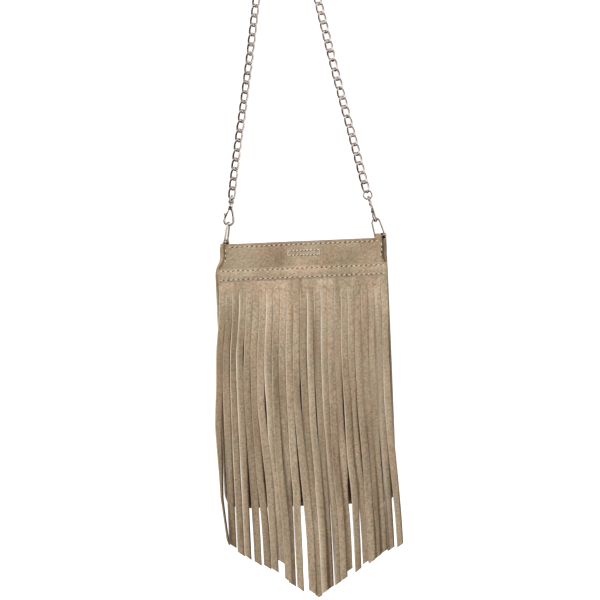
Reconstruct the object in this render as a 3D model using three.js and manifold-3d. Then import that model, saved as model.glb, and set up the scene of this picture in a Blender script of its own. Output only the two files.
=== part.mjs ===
// Small fringed suede shoulder bag, hung by its chain strap.
// Millimetres, +Z up, front faces -Y, origin where the chain's centreline crosses its hook.

import * as THREE from "three";
import { mergeVertices } from "three/addons/utils/BufferGeometryUtils.js";
import Module from "manifold-3d";

// Place of the bag under the hook: the middle of its top edge.
const BAG_X = 9.1;
const BAG_Z = -365;

// Pouch of two suede panels and a gusset.
const SUEDE = 1.3;
const TOP_HALF = 84.6;
const BODY_HALF = 90.3;
const BAND_HEIGHT = 18;
const FLARE_HEIGHT = 28;
const POUCH_HEIGHT = 276;
const CORNER = 16;
const POUCH_HALF_DEPTH = 9;
const GAP = 0.3;
const LINING = 0.7;
const LINING_HALF_DEPTH = 6.4;
const LINING_DROP = 4;

// Fringe panel on the front and the strip that covers its top edge.
const FRINGE_TOP = 27;
const SLIT_TOP = 48;
const STRIPS = 26;
const SLIT = 0.4;
const FRINGE_SIDE = 318;
const FRINGE_POINT = 373;
const FRINGE_FRONT = POUCH_HALF_DEPTH + GAP + SUEDE;
const STRIP_TOP = 25.7;
const STRIP_BOTTOM = 40;

// Magnetic snap inside the mouth.
const SNAP_DROP = 12;
const SNAP_R = 7.5;
const SNAP_THICK = 2.5;
const NIPPLE_R = 3;

// Ball-ended shackle: a bent wire arch with a cross pin.
const SHACKLE_WIRE = 1.1;
const SHACKLE_LEN = 18.6;
const SHACKLE_ARC = 3.5;
const SHACKLE_FOOT = 5;
const BALL_R = 1.85;
const CROSS_PIN_R = 0.9;

// Lobster clasp: hook, thumb lever, lever pin and spring.
const HOOK_WIRE = 1.2;
const HOOK_ARC = 4.8;
const HOOK_SEAT = 3.0;
const EYE_R = 2.2;
const EYE_WIRE = 1.1;
const EYE_HEIGHT = 25;
const LEVER_PIVOT = [-1.1, 17.4];
const LEVER_PIN_R = 0.6;

// Jump rings join the clasps to the chain.
const JUMP_R = 3.3;
const JUMP_WIRE = 0.9;
const JUMP_SEAT = 2.4;

// Where the two sides hang: both swing about one line above the top edge.
const SWING_HEIGHT = 20.4;
const LEFT_PIN_X = -81.9;
const RIGHT_PIN_X = 79.6;
const LEFT_LEAN = THREE.MathUtils.degToRad(9.7);
const RIGHT_LEAN = THREE.MathUtils.degToRad(14.5);
const LEFT_SHACKLE_YAW = THREE.MathUtils.degToRad(74);
const RIGHT_CLASP_YAW = THREE.MathUtils.degToRad(80);

// Suede tab folded over each cross pin, its legs either side of the pouch's side wall.
const TAB_WIDTH = 5.2;
const TAB_THICK = 1.2;
const TAB_LEG = 18;
const TAB_LOOP_R = 2.0;
const RIGHT_TAB_SHIFT = 0.6;

// Chain strap: outer diameter and the line that its centre follows, x and z in turn.
const CHAIN_R = 4.25;
const CHAIN_STEPS = 76;
const CHAIN_ROUTE = [
  [-64.6, -311.2], [-62.5, -297.0], [-57.4, -266.0], [-50.7, -230.0], [-45.6, -201.0],
  [-40.4, -171.5], [-35.3, -140.0], [-30.4, -109.5], [-24.4, -70.0], [-19.2, -36.0],
  [-16.9, -19.0], [-14.4, -8.0], [-8.5, -2.3], [0, 0], [8.5, -2.3], [14.4, -8.0],
  [16.9, -19.5], [19.9, -37.0], [26.4, -71.0], [34.0, -111.5], [40.4, -144.5],
  [46.5, -175.5], [52.1, -202.5], [57.5, -227.5], [65.9, -266.0], [73.4, -301.5],
  [76.3, -314.4],
];

const COLORS = {
  suede: 0xac987e,
  lining: 0x6f6152,
  metal: 0xd9c7a8,
  steel: 0xb8b8b6,
};

const wasm = await Module();
wasm.setup();

function material(kind) {
  const metal = kind === "metal" || kind === "steel";
  return new THREE.MeshStandardMaterial({
    color: COLORS[kind],
    roughness: metal ? 0.25 : 0.95,
    metalness: metal ? 1 : 0,
  });
}

function piece(name, geometry, kind) {
  const mesh = new THREE.Mesh(geometry, material(kind));
  mesh.name = name;
  return mesh;
}

function toSolid(geometry) {
  const bare = geometry.clone();
  bare.deleteAttribute("normal");
  bare.deleteAttribute("uv");
  const merged = mergeVertices(bare, 1e-4);
  return new wasm.Manifold(new wasm.Mesh({
    numProp: 3,
    vertProperties: new Float32Array(merged.attributes.position.array),
    triVerts: new Uint32Array(merged.index.array),
  }));
}

function toGeometry(solid) {
  const mesh = solid.getMesh();
  const geometry = new THREE.BufferGeometry();
  geometry.setAttribute("position", new THREE.BufferAttribute(mesh.vertProperties, 3));
  geometry.setIndex(new THREE.BufferAttribute(mesh.triVerts, 1));
  return geometry;
}

function join(...geometries) {
  return toGeometry(geometries.map(toSolid).reduce((a, b) => a.add(b)));
}

function cut(geometry, ...tools) {
  return toGeometry(tools.map(toSolid).reduce((a, b) => a.subtract(b), toSolid(geometry)));
}

// A flat shape drawn in X and Z, given its thickness from y towards the back.
function plate(shape, y, thickness) {
  const geometry = new THREE.ExtrudeGeometry(shape, {
    depth: thickness,
    bevelEnabled: false,
    curveSegments: 6,
  });
  geometry.rotateX(Math.PI / 2);
  geometry.translate(0, y + thickness, 0);
  return geometry;
}

function circleShape(radius, sides) {
  const shape = new THREE.Shape();
  for (let i = 0; i < sides; i += 1) {
    const turn = (2 * Math.PI * i) / sides;
    const x = radius * Math.cos(turn);
    const y = radius * Math.sin(turn);
    if (i === 0) shape.moveTo(x, y);
    else shape.lineTo(x, y);
  }
  shape.closePath();
  return shape;
}

// Round wire along a curve drawn in X and Z.
function wire(points, radius, steps, sides = 10) {
  const curve = new THREE.CatmullRomCurve3(points.map(([x, z]) => new THREE.Vector3(x, 0, z)));
  return new THREE.ExtrudeGeometry(circleShape(radius, sides), {
    steps,
    extrudePath: curve,
  });
}

// Outline of a thin strip that follows a flat curve, drawn in X and Z.
function ribbonShape(curve, thickness, steps) {
  const left = [];
  const right = [];
  for (let i = 0; i <= steps; i += 1) {
    const point = curve.getPoint(i / steps);
    const tangent = curve.getTangent(i / steps);
    const side = new THREE.Vector2(-tangent.y, tangent.x).multiplyScalar(thickness / 2);
    left.push(point.clone().add(side));
    right.push(point.clone().sub(side));
  }
  return new THREE.Shape([...left, ...right.reverse()]);
}

function rod(radius, length, sides = 16) {
  return new THREE.CylinderGeometry(radius, radius, length, sides);
}

// Outline of a panel, inset all round, from the drop below the top edge.
function panelShape(inset, drop) {
  const top = TOP_HALF - inset;
  const side = BODY_HALF - inset;
  const foot = -POUCH_HEIGHT + inset;
  const corner = CORNER - inset;
  const shape = new THREE.Shape();
  shape.moveTo(-top, -drop);
  shape.lineTo(-top, -BAND_HEIGHT);
  shape.lineTo(-side, -FLARE_HEIGHT);
  shape.lineTo(-side, foot + corner);
  shape.absarc(-side + corner, foot + corner, corner, Math.PI, Math.PI * 1.5, false);
  shape.lineTo(side - corner, foot);
  shape.absarc(side - corner, foot + corner, corner, -Math.PI / 2, 0, false);
  shape.lineTo(side, -FLARE_HEIGHT);
  shape.lineTo(top, -BAND_HEIGHT);
  shape.lineTo(top, -drop);
  shape.closePath();
  return shape;
}

function frontPanel() {
  return piece("front_panel", plate(panelShape(0, 0), -POUCH_HALF_DEPTH, SUEDE), "suede");
}

function backPanel() {
  const y = POUCH_HALF_DEPTH - SUEDE;
  return piece("back_panel", plate(panelShape(0, 0), y, SUEDE), "suede");
}

// One strip that runs down a side, along the bottom and up the other side.
function gusset() {
  const half = POUCH_HALF_DEPTH - SUEDE - GAP;
  const band = plate(panelShape(0, 1), -half, 2 * half);
  const hollow = plate(panelShape(SUEDE, -5), -half - 1, 2 * half + 2);
  return piece("gusset", cut(band, hollow), "suede");
}

// Loose inner pouch, open at the top.
function lining() {
  const outside = SUEDE + GAP;
  const inside = outside + LINING;
  const half = LINING_HALF_DEPTH;
  const bag = plate(panelShape(outside, LINING_DROP), -half, 2 * half);
  const hollow = plate(panelShape(inside, -5), -half + LINING, 2 * (half - LINING));
  return piece("lining", cut(bag, hollow), "lining");
}

// One panel slit into strips that end along a point-down chevron.
function fringePanel() {
  const pitch = (2 * BODY_HALF) / STRIPS;
  const foot = (x) => -FRINGE_POINT + ((FRINGE_POINT - FRINGE_SIDE) * Math.abs(x)) / BODY_HALF;
  const shape = new THREE.Shape();
  shape.moveTo(BODY_HALF, -FRINGE_TOP);
  shape.lineTo(-BODY_HALF, -FRINGE_TOP);
  for (let i = 0; i < STRIPS; i += 1) {
    const left = -BODY_HALF + i * pitch + (i > 0 ? SLIT / 2 : 0);
    const right = -BODY_HALF + (i + 1) * pitch - (i < STRIPS - 1 ? SLIT / 2 : 0);
    if (i > 0) shape.lineTo(left, -SLIT_TOP);
    shape.lineTo(left, foot(left));
    shape.lineTo(right, foot(right));
    if (i < STRIPS - 1) shape.lineTo(right, -SLIT_TOP);
  }
  shape.closePath();
  return piece("fringe_panel", plate(shape, -FRINGE_FRONT, SUEDE), "suede");
}

// Flat strip sewn over the fringe panel's top edge.
function coverStrip() {
  const thick = 1.1;
  const height = STRIP_BOTTOM - STRIP_TOP;
  const geometry = new THREE.BoxGeometry(2 * BODY_HALF, thick, height);
  geometry.translate(0, -FRINGE_FRONT - GAP - thick / 2, -(STRIP_TOP + STRIP_BOTTOM) / 2);
  return piece("cover_strip", geometry, "suede");
}

function snapDisc(radius, y0, y1) {
  const geometry = rod(radius, Math.abs(y1 - y0), 28);
  geometry.translate(0, (y0 + y1) / 2, -SNAP_DROP);
  return geometry;
}

// Magnetic snap: the socket on the front wall, the stud on the back wall, and their washers.
function snap() {
  const wall = LINING_HALF_DEPTH - LINING - GAP;
  const face = wall - SNAP_THICK;
  const socket = cut(snapDisc(SNAP_R, -wall, -face), snapDisc(NIPPLE_R + 0.5, -face - 1.6, 0));
  const stud = join(snapDisc(SNAP_R, face, wall), snapDisc(NIPPLE_R, 0.9, face + 0.5));
  const washer = (side) => snapDisc(SNAP_R - 1, side * (LINING_HALF_DEPTH + GAP), side * 7.3);
  return [
    piece("snap_socket", socket, "steel"),
    piece("snap_stud", stud, "steel"),
    piece("socket_washer", washer(-1), "steel"),
    piece("stud_washer", washer(1), "steel"),
  ];
}

// The folded tab: a hairpin of suede around the pin, seen along the pin.
// The outer leg lies outside the pouch's side wall and the inner leg inside the lining.
function tabGeometry(pinX, pinZ, outer, inner) {
  const bend = TAB_LOOP_R + TAB_THICK / 2;
  const curve = new THREE.SplineCurve([
    new THREE.Vector2(outer, -TAB_LEG),
    new THREE.Vector2(outer, -TAB_LEG / 2),
    new THREE.Vector2(outer, -1.5),
    new THREE.Vector2(pinX + bend, pinZ),
    new THREE.Vector2(pinX, pinZ + bend),
    new THREE.Vector2(pinX - bend, pinZ),
    new THREE.Vector2(inner, -1.5),
    new THREE.Vector2(inner, -TAB_LEG / 2),
    new THREE.Vector2(inner, -TAB_LEG),
  ]);
  return plate(ribbonShape(curve, TAB_THICK, 36), -TAB_WIDTH / 2, TAB_WIDTH);
}

// The bent arch with a ball at each foot. The pin lies along X and the arch rises along Z.
function shackleGeometry() {
  const points = [];
  const rise = SHACKLE_LEN - SHACKLE_ARC;
  points.push([-SHACKLE_FOOT, 0], [-SHACKLE_FOOT + 0.3, rise * 0.3], [-SHACKLE_ARC - 0.45, rise * 0.75]);
  for (let i = 0; i <= 6; i += 1) {
    const turn = Math.PI * (1 - i / 6);
    points.push([SHACKLE_ARC * Math.cos(turn), rise + SHACKLE_ARC * Math.sin(turn)]);
  }
  points.push([SHACKLE_ARC + 0.45, rise * 0.75], [SHACKLE_FOOT - 0.3, rise * 0.3], [SHACKLE_FOOT, 0]);
  const balls = [-1, 1].map((side) => {
    const ball = new THREE.SphereGeometry(BALL_R, 14, 10);
    ball.translate(side * SHACKLE_FOOT, 0, 0);
    return ball;
  });
  return join(wire(points, SHACKLE_WIRE, 34), ...balls);
}

function crossPinGeometry() {
  const geometry = rod(CROSS_PIN_R, 2 * (SHACKLE_FOOT - BALL_R - GAP), 12);
  geometry.rotateZ(Math.PI / 2);
  return geometry;
}

// Hook of the clasp: spine on +X, round seat at the origin, nose on -X, barrel and eye on top.
function clasp() {
  const points = [[0.3, 20.5], [2.1, 16.2], [3.9, 10.6]];
  for (let i = 0; i <= 8; i += 1) {
    const turn = THREE.MathUtils.degToRad(8 - (i * 186) / 8);
    points.push([HOOK_ARC * Math.cos(turn), HOOK_ARC + HOOK_ARC * Math.sin(turn)]);
  }
  const hook = wire(points, HOOK_WIRE, 40);
  const barrel = new THREE.CylinderGeometry(1.5, 2.0, 5, 14);
  barrel.rotateX(Math.PI / 2);
  barrel.translate(0.1, 0, 20.4);
  const eye = new THREE.TorusGeometry(EYE_R, EYE_WIRE, 10, 20);
  eye.rotateX(Math.PI / 2);
  eye.translate(0, 0, EYE_HEIGHT);
  const lug = new THREE.BoxGeometry(3.4, 2.4, 4.4);
  lug.translate(LEVER_PIVOT[0] + 0.5, 0, LEVER_PIVOT[1] + 0.6);
  const slot = new THREE.BoxGeometry(5, 1.5, 5.4);
  slot.translate(LEVER_PIVOT[0] - 0.9, 0, LEVER_PIVOT[1] - 0.4);
  const bore = rod(LEVER_PIN_R + 0.1, 6, 14);
  bore.translate(LEVER_PIVOT[0], 0, LEVER_PIVOT[1]);
  return cut(join(hook, barrel, eye, lug), slot, bore);
}

// Thumb lever that closes the hook's mouth from inside the nose.
function lever() {
  const [px, pz] = LEVER_PIVOT;
  const shape = new THREE.Shape();
  shape.moveTo(px - 1.1, pz + 0.6);
  shape.lineTo(px + 0.75, pz + 0.7);
  shape.lineTo(px + 0.75, pz - 0.1);
  shape.lineTo(px + 0.25, pz - 1.4);
  shape.lineTo(-3.3, 6.9);
  shape.lineTo(-4.9, 6.9);
  shape.lineTo(-4.5, 9.4);
  shape.lineTo(-6.4, 11.0);
  shape.lineTo(-6.3, 12.0);
  shape.lineTo(-3.9, 12.4);
  shape.closePath();
  const bore = rod(LEVER_PIN_R + 0.1, 6, 14);
  bore.translate(px, 0, pz);
  return cut(plate(shape, -0.55, 1.1), bore);
}

function leverPin() {
  const geometry = rod(LEVER_PIN_R, 2.6, 12);
  geometry.translate(LEVER_PIVOT[0], 0, LEVER_PIVOT[1]);
  return geometry;
}

// Leaf of the return spring, behind the lever and against the spine.
function leverSpring() {
  const [px, pz] = LEVER_PIVOT;
  const shape = new THREE.Shape();
  shape.moveTo(px + 1.05, pz + 1.0);
  shape.lineTo(px + 1.4, pz + 1.0);
  shape.lineTo(px + 1.4, pz - 2.2);
  shape.lineTo(px + 1.05, pz - 2.2);
  shape.closePath();
  return plate(shape, -0.4, 0.8);
}

function jumpRing() {
  return new THREE.TorusGeometry(JUMP_R, JUMP_WIRE, 10, 24);
}

// A group that stands at a point of the bag and leans towards the other side.
function leaning(x, z, lean) {
  const group = new THREE.Group();
  group.position.set(x, 0, z);
  group.rotation.y = lean;
  return group;
}

// Left side: shackle nearly edge-on, clasp face-on with its lever outwards.
// The swing line is the middle of the hook's wire.
function leftHardware() {
  const group = leaning(LEFT_PIN_X, 0, LEFT_LEAN);
  const seat = SHACKLE_LEN - HOOK_SEAT;
  group.position.z = SWING_HEIGHT - seat * Math.cos(LEFT_LEAN);
  const shackle = new THREE.Group();
  shackle.rotation.z = LEFT_SHACKLE_YAW;
  shackle.add(piece("left_shackle", shackleGeometry(), "metal"));
  shackle.add(piece("left_shackle_pin", crossPinGeometry(), "metal"));
  const hook = new THREE.Group();
  hook.position.z = seat;
  hook.add(piece("left_clasp_hook", clasp(), "metal"));
  hook.add(piece("left_clasp_lever", lever(), "metal"));
  hook.add(piece("left_lever_pin", leverPin(), "steel"));
  hook.add(piece("left_lever_spring", leverSpring(), "steel"));
  const ring = piece("left_jump_ring", jumpRing(), "metal");
  ring.rotation.y = Math.PI / 2;
  ring.position.z = EYE_HEIGHT + EYE_R - JUMP_SEAT + JUMP_R;
  hook.add(ring);
  group.add(shackle, hook);
  return group;
}

// Right side: shackle face-on, clasp nearly edge-on.
// The swing line is the middle of the shackle's top bar.
function rightHardware() {
  const group = leaning(RIGHT_PIN_X, 0, -RIGHT_LEAN);
  group.position.z = SWING_HEIGHT - SHACKLE_LEN * Math.cos(RIGHT_LEAN);
  group.add(piece("right_shackle", shackleGeometry(), "metal"));
  group.add(piece("right_shackle_pin", crossPinGeometry(), "metal"));
  const hook = new THREE.Group();
  hook.position.z = SHACKLE_LEN - HOOK_SEAT;
  hook.rotation.z = RIGHT_CLASP_YAW;
  hook.add(piece("right_clasp_hook", clasp(), "metal"));
  hook.add(piece("right_clasp_lever", lever(), "metal"));
  hook.add(piece("right_lever_pin", leverPin(), "steel"));
  hook.add(piece("right_lever_spring", leverSpring(), "steel"));
  const ring = piece("right_jump_ring", jumpRing(), "metal");
  ring.rotation.x = Math.PI / 2;
  ring.position.z = SHACKLE_LEN - HOOK_SEAT + EYE_HEIGHT + EYE_R - JUMP_SEAT + JUMP_R;
  group.add(hook, ring);
  return group;
}

// Left tab straddles the side wall and folds over a pin that points at the viewer.
function leftTab() {
  const pinZ = SWING_HEIGHT - (SHACKLE_LEN - HOOK_SEAT) * Math.cos(LEFT_LEAN);
  const outer = TOP_HALF + GAP + TAB_THICK / 2;
  const inner = TOP_HALF - SUEDE - LINING - 2 * GAP - TAB_THICK;
  const geometry = tabGeometry(-LEFT_PIN_X, pinZ, outer, inner);
  geometry.rotateZ(Math.PI);
  return piece("left_tab", geometry, "suede");
}

// Right tab is the same hairpin, turned so that it folds over a pin that lies side to side.
function rightTab() {
  const pinZ = SWING_HEIGHT - SHACKLE_LEN * Math.cos(RIGHT_LEAN);
  const inner = LINING_HALF_DEPTH - LINING - GAP - TAB_THICK / 2;
  const geometry = tabGeometry(0, pinZ, inner, -inner);
  geometry.rotateZ(-Math.PI / 2);
  geometry.translate(RIGHT_PIN_X - RIGHT_TAB_SHIFT, 0, 0);
  return piece("right_tab", geometry, "suede");
}

function chain() {
  const curve = new THREE.CatmullRomCurve3(
    CHAIN_ROUTE.map(([x, z]) => new THREE.Vector3(x, 0, z)),
    false,
    "centripetal",
  );
  const geometry = new THREE.ExtrudeGeometry(circleShape(CHAIN_R, 10), {
    steps: CHAIN_STEPS,
    extrudePath: curve,
  });
  return piece("chain", geometry, "metal");
}

function bag() {
  const group = new THREE.Group();
  group.position.set(BAG_X, 0, BAG_Z);
  group.add(frontPanel(), backPanel(), gusset(), lining());
  group.add(fringePanel(), coverStrip());
  group.add(...snap());
  group.add(leftTab(), rightTab());
  group.add(leftHardware(), rightHardware());
  return group;
}

const model = new THREE.Group();
model.add(bag(), chain());

export default model;
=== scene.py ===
import math
import random

import bpy
import numpy as np
from mathutils import Matrix, Vector


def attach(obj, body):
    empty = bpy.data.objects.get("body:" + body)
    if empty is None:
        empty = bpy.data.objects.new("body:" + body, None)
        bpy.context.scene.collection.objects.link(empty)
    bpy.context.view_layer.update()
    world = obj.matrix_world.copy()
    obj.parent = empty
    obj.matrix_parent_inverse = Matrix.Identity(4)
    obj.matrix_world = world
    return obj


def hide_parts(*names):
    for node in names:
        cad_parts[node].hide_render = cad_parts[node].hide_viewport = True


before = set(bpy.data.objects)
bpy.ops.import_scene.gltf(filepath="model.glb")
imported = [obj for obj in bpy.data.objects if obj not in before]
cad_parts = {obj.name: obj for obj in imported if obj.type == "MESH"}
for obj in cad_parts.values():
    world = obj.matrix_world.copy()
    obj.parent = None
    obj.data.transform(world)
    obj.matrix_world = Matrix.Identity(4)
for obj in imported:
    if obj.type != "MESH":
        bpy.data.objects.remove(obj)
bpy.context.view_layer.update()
MM = 0.001

# ---- Camera ----
# A long lens looks straight at the bag's front from three metres away. It is rolled
# a little, so the bag hangs with its right side slightly raised.
bag_x, bag_top = 9.1, -365.0
view_distance, view_width = 3.0, 0.630
camera_data = bpy.data.cameras.new("camera")
camera_data.sensor_width = 36
camera_data.lens = 36 * view_distance / view_width
camera = bpy.data.objects.new("camera", camera_data)
bpy.context.scene.collection.objects.link(camera)
camera.location = ((bag_x - 7.4) * MM, -view_distance, (bag_top - 61.3) * MM)
camera.rotation_euler = (math.radians(90), math.radians(2.5), 0)
camera_data.clip_end = 60
bpy.context.scene.camera = camera

# ---- Plated metal ----
# All the hardware is cast or bent metal with a polished pale gold plating. It has
# faint scratches and slightly uneven gloss.
plate_color = (0.79, 0.69, 0.635, 1)


def new_material(name, **sockets):
    """A material, with its shader's own sockets set to the given constants."""
    material = bpy.data.materials.new(name)
    material.use_nodes = True
    shader = material.node_tree.nodes["Principled BSDF"]
    for socket, value in sockets.items():
        shader.inputs[socket.replace("_", " ")].default_value = value
    return material, shader


def add_node(material, kind, **values):
    node = material.node_tree.nodes.new(kind)
    for key, value in values.items():
        socket = key.replace("_", " ")
        if socket in node.inputs:
            node.inputs[socket].default_value = value
        else:
            setattr(node, key, value)
    return node


def wire_up(material, *links):
    for out_socket, in_socket in links:
        material.node_tree.links.new(out_socket, in_socket)


def color_ramp(material, *stops):
    ramp = add_node(material, "ShaderNodeValToRGB")
    elements = ramp.color_ramp.elements
    while len(elements) < len(stops):
        elements.new(0.5)
    for element, (position, color) in zip(elements, stops):
        element.position = position
        element.color = (*color, 1)
    return ramp


def make_metal(name, color, roughness):
    metal, shader = new_material(name, Metallic=1)
    place = add_node(metal, "ShaderNodeTexCoord")
    stretch = add_node(metal, "ShaderNodeMapping", Scale=(900, 900, 260))
    scratches = add_node(metal, "ShaderNodeTexNoise", Scale=1.0, Detail=4.0)
    clouds = add_node(metal, "ShaderNodeTexNoise", Scale=220.0, Detail=2.0)
    tint = color_ramp(metal, (0.35, tuple(0.9 * c for c in color[:3])), (0.65, color[:3]))
    gloss = add_node(
        metal, "ShaderNodeMapRange",
        From_Min=0.3, From_Max=0.7, To_Min=roughness * 0.7, To_Max=roughness * 1.5,
    )
    bump = add_node(metal, "ShaderNodeBump", Strength=0.06, Distance=0.0002)
    wire_up(
        metal,
        (place.outputs["Object"], stretch.inputs["Vector"]),
        (stretch.outputs["Vector"], scratches.inputs["Vector"]),
        (place.outputs["Object"], clouds.inputs["Vector"]),
        (clouds.outputs["Fac"], tint.inputs["Fac"]),
        (tint.outputs["Color"], shader.inputs["Base Color"]),
        (clouds.outputs["Fac"], gloss.inputs["Value"]),
        (gloss.outputs["Result"], shader.inputs["Roughness"]),
        (scratches.outputs["Fac"], bump.inputs["Height"]),
        (bump.outputs["Normal"], shader.inputs["Normal"]),
    )
    return metal


plating = make_metal("pale_gold_plating", plate_color, 0.16)

# ---- Chain strap ----
# A curb chain of twisted oval wire links hangs over its hook and comes down to the two
# clasps. Each link is bent wire, threaded through the next and twisted to lie flat.
chain_route = [
    (-64.6, -311.2), (-62.5, -297.0), (-57.4, -266.0), (-50.7, -230.0), (-45.6, -201.0),
    (-40.4, -171.5), (-35.3, -140.0), (-30.4, -109.5), (-24.4, -70.0), (-19.2, -36.0),
    (-16.9, -19.0), (-14.4, -8.0), (-8.5, -2.3), (0, 0), (8.5, -2.3), (14.4, -8.0),
    (16.9, -19.5), (19.9, -37.0), (26.4, -71.0), (34.0, -111.5), (40.4, -144.5),
    (46.5, -175.5), (52.1, -202.5), (57.5, -227.5), (65.9, -266.0), (73.4, -301.5),
    (76.3, -314.4),
]
link_wire = 1.28
link_end = 2.75
link_stretch = 3.68
link_bulge = 0.55
link_pitch = 10.3
link_twist = math.radians(88)
link_roll, link_sway, sway_rate = 9, 14, 0.35
ring_room = 4.0


def select_only(*objects):
    if bpy.context.object and bpy.context.object.mode != "OBJECT":
        bpy.ops.object.mode_set(mode="OBJECT")
    bpy.ops.object.select_all(action="DESELECT")
    for item in objects:
        item.select_set(True)
    bpy.context.view_layer.objects.active = objects[0]


def named(name):
    item = bpy.context.object
    item.name = name
    item.data.name = name
    return item


def apply_modifier(item, kind, **values):
    select_only(item)
    modifier = item.modifiers.new(kind.lower(), kind)
    for key, value in values.items():
        setattr(modifier, key, value)
    bpy.ops.object.modifier_apply(modifier=modifier.name)
    return item


def copy_of(item, name):
    twin = item.copy()
    twin.data = item.data.copy()
    twin.name = name
    twin.data.name = name
    bpy.context.scene.collection.objects.link(twin)
    return twin


def joined(items, name):
    select_only(*items)
    bpy.ops.object.join()
    return named(name)


def smooth(item, angle=40):
    select_only(item)
    bpy.ops.object.shade_smooth_by_angle(angle=math.radians(angle))
    return item


def outward(item, merge=0.00001):
    select_only(item)
    bpy.ops.object.mode_set(mode="EDIT")
    bpy.ops.mesh.select_all(action="SELECT")
    bpy.ops.mesh.remove_doubles(threshold=merge)
    bpy.ops.mesh.normals_make_consistent(inside=False)
    bpy.ops.object.mode_set(mode="OBJECT")
    return item


def curve_points(points, step):
    """Evenly spaced points on a smooth line through the given ones."""
    line = [Vector(p) for p in points]
    ends = [2 * line[0] - line[1], *line, 2 * line[-1] - line[-2]]
    fine = []
    for a, b, c, d in zip(ends, ends[1:], ends[2:], ends[3:]):
        for i in range(24):
            t = i / 24
            fine.append(
                0.5 * (2 * b + (c - a) * t + (2 * a - 5 * b + 4 * c - d) * t * t
                       + (3 * b - a - 3 * c + d) * t ** 3)
            )
    fine.append(line[-1])
    lengths = np.cumsum([0] + [(q - p).length for p, q in zip(fine, fine[1:])])
    count = max(2, round(lengths[-1] / step) + 1)
    wanted = np.linspace(0, lengths[-1], count)
    return [
        Vector([np.interp(w, lengths, [p[k] for p in fine]) for k in range(3)])
        for w in wanted
    ], lengths[-1]


def make_link():
    bpy.ops.mesh.primitive_torus_add(
        major_radius=link_end * MM, minor_radius=link_wire * MM,
        major_segments=28, minor_segments=10,
    )
    link = named("link")
    select_only(link)
    for vertex in link.data.vertices:
        vertex.select = vertex.co.x > 0.00001
    for edge in link.data.edges:
        edge.select = all(link.data.vertices[i].select for i in edge.vertices)
    for face in link.data.polygons:
        face.select = all(link.data.vertices[i].select for i in face.vertices)
    bpy.ops.object.mode_set(mode="EDIT")
    bpy.ops.transform.translate(value=(2 * link_stretch * MM, 0, 0))
    bpy.ops.mesh.select_all(action="SELECT")
    bpy.ops.transform.translate(value=(-link_stretch * MM, 0, 0))
    for cut in (-2.0, -0.7, 0.7, 2.0):
        bpy.ops.mesh.select_all(action="SELECT")
        bpy.ops.mesh.bisect(plane_co=(cut * MM, 0, 0), plane_no=(1, 0, 0))
    bpy.ops.object.mode_set(mode="OBJECT")
    reach = (link_stretch + link_end) * MM
    for vertex in link.data.vertices:
        share = max(0, 1 - (vertex.co.x / reach) ** 2)
        vertex.co.y += math.copysign(link_bulge * share * MM, vertex.co.y)
    return apply_modifier(
        link, "SIMPLE_DEFORM", deform_method="TWIST", deform_axis="X", angle=link_twist
    )


def belong(item, body, slot, *nodes):
    """Says which body the item rides on and which nodes it replaces. The slot argument is not used."""
    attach(item, body)
    if nodes:
        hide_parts(*nodes)


def dress(item, material, body, slot, *nodes):
    item.data.materials.clear()
    item.data.materials.append(material)
    belong(item, body, slot, *nodes)


def lay_along(item, point, tangent, normal):
    """Turns the item's mesh so its X runs along the tangent, and sets it at the point."""
    x = tangent.normalized()
    z = (normal - normal.dot(x) * x).normalized()
    y = z.cross(x)
    turn = Matrix((x, y, z)).transposed().to_4x4()
    item.data.transform(Matrix.Translation(point) @ turn)


chain_3d = [(x * MM, 0, z * MM) for x, z in chain_route]
stations, chain_length = curve_points(chain_3d, link_pitch * MM)
squeeze = (chain_length - ring_room * MM) / chain_length
fine_route, _ = curve_points(chain_3d, 0.5 * MM)
last_link = len(stations) - 1
stations = [fine_route[round(i * squeeze / last_link * (len(fine_route) - 1))] for i in range(last_link + 1)]
link = make_link()
links = []
rng = random.Random(11)
for i, station in enumerate(stations):
    before = stations[max(i - 1, 0)]
    after = stations[min(i + 1, last_link)]
    ring = copy_of(link, f"link_{i}")
    roll = math.radians(rng.uniform(-link_roll, link_roll) + link_sway * math.sin(i * sway_rate))
    facing = Vector((math.sin(roll), -math.cos(roll), 0))
    lay_along(ring, station, after - before, facing)
    links.append(ring)
bpy.data.objects.remove(link)
chain = smooth(joined(links, "chain_strap"), 60)
dress(chain, plating, "strap", "plated_metal", "chain")
end_reach = 5 * MM
chain_path, _ = curve_points(chain_3d, 3 * MM)
chain_path.insert(0, chain_path[0] + (chain_path[0] - chain_path[1]).normalized() * end_reach)
chain_path.append(chain_path[-1] + (chain_path[-1] - chain_path[-2]).normalized() * end_reach)

# ---- Jump rings ----
# Two small rings of round wire, bent closed, join the last links to the clasps' eyes.
# Each hangs square to its clasp, in the line of the strap.
left_lean, right_lean = math.radians(9.7), math.radians(14.5)
swing_z = bag_top + 20.4
shackle_len, hook_seat = 18.6, 3.0
left_pin = Vector((bag_x - 81.9, 0, swing_z - (shackle_len - hook_seat) * math.cos(left_lean)))
right_pin = Vector((bag_x + 79.6, 0, swing_z - shackle_len * math.cos(right_lean)))
left_side = Matrix.Translation(left_pin * MM) @ Matrix.Rotation(left_lean, 4, "Y")
right_side = Matrix.Translation(right_pin * MM) @ Matrix.Rotation(-right_lean, 4, "Y")
jump_wire = 1.0
eye_height, eye_radius, ring_sink = 25, 2.2, 2.4
jump_seat = shackle_len - hook_seat + eye_height + eye_radius - ring_sink


def jump_ring(side, frame_matrix, turn, jump_radius):
    bpy.ops.mesh.primitive_torus_add(
        major_radius=jump_radius * MM, minor_radius=jump_wire * MM,
        major_segments=44, minor_segments=14,
    )
    ring = named(f"{side}_jump_ring_wire")
    ring.data.transform(frame_matrix @ Matrix.Translation((0, 0, (jump_seat + jump_radius) * MM)) @ turn)
    smooth(ring, 60)
    dress(ring, plating, "strap", "plated_metal", f"{side}_jump_ring")


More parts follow.
